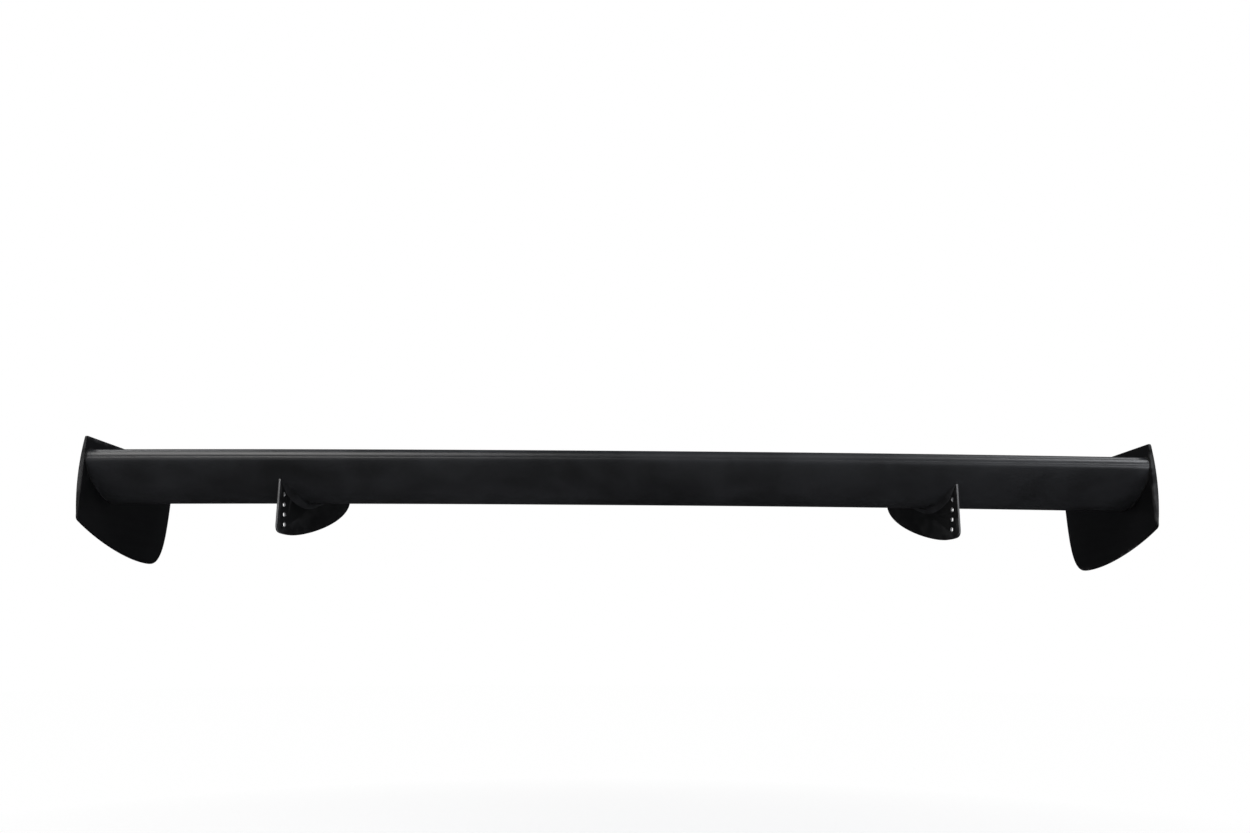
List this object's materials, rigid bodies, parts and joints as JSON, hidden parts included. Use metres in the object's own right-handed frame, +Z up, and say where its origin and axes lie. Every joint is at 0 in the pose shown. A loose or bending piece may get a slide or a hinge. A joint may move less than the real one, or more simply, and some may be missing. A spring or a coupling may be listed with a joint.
{
  "type": "racing rear wing",
  "caption": "Full-width racing rear wing: a hollow bowed blade between two crowned endplates, on two toed-in drilled mounting fins.",
  "frame": {"origin": "midway between the top holes of the two fins, where the uprights take hold", "axes": "+X towards the car's left, -Y forwards to the blade's rounded nose, +Z up"},
  "size_m": [1.558, 0.2943, 0.17],
  "materials": {
    "blade_gelcoat": "satin black gelcoat over glass fibre laminate",
    "endplate_black": "satin black moulded laminate",
    "fin_paint": "satin black paint on aluminium plate",
    "bond_fillet": "black bonding paste, painted over",
    "seal_rubber": "black rubber sheet",
    "plate_screws": "black oxide stainless steel",
    "brass_insert": "turned brass",
    "inner_fasteners": "stainless steel",
    "spar_tube": "drawn aluminium tube",
    "rib_ply": "birch plywood"
  },
  "bodies": {
    "root": {"upper_skin": "blade_gelcoat", "lower_skin": "blade_gelcoat", "trailing_edge_strip": "blade_gelcoat", "main_spar": "spar_tube", "rear_spar": "spar_tube", "centre_rib": "rib_ply", "end_rib_left": "rib_ply", "end_rib_right": "rib_ply", "mount_rib_left": "rib_ply", "mount_rib_right": "rib_ply", "mount_fin_left": "fin_paint", "mount_fin_right": "fin_paint", "fin_fillet_left_outer": "bond_fillet", "fin_fillet_left_inner": "bond_fillet", "fin_fillet_right_outer": "bond_fillet", "fin_fillet_right_inner": "bond_fillet", "tab_bolt_left_front": "inner_fasteners", "tab_bolt_left_rear": "inner_fasteners", "tab_bolt_right_front": "inner_fasteners", "tab_bolt_right_rear": "inner_fasteners", "tab_nut_left_front": "inner_fasteners", "tab_nut_left_rear": "inner_fasteners", "tab_nut_right_front": "inner_fasteners", "tab_nut_right_rear": "inner_fasteners", "endplate_left": "endplate_black", "endplate_right": "endplate_black", "end_seal_left": "seal_rubber", "end_seal_right": "seal_rubber", "endplate_screw_left_front": "plate_screws", "endplate_screw_left_middle": "plate_screws", "endplate_screw_left_rear": "plate_screws", "endplate_screw_right_front": "plate_screws", "endplate_screw_right_middle": "plate_screws", "endplate_screw_right_rear": "plate_screws", "washer_left_front": "plate_screws", "washer_left_middle": "plate_screws", "washer_left_rear": "plate_screws", "washer_right_front": "plate_screws", "washer_right_middle": "plate_screws", "washer_right_rear": "plate_screws", "threaded_insert_left_front": "brass_insert", "threaded_insert_left_middle": "brass_insert", "threaded_insert_left_rear": "brass_insert", "threaded_insert_right_front": "brass_insert", "threaded_insert_right_middle": "brass_insert", "threaded_insert_right_rear": "brass_insert"}
  },
  "joints": []
}
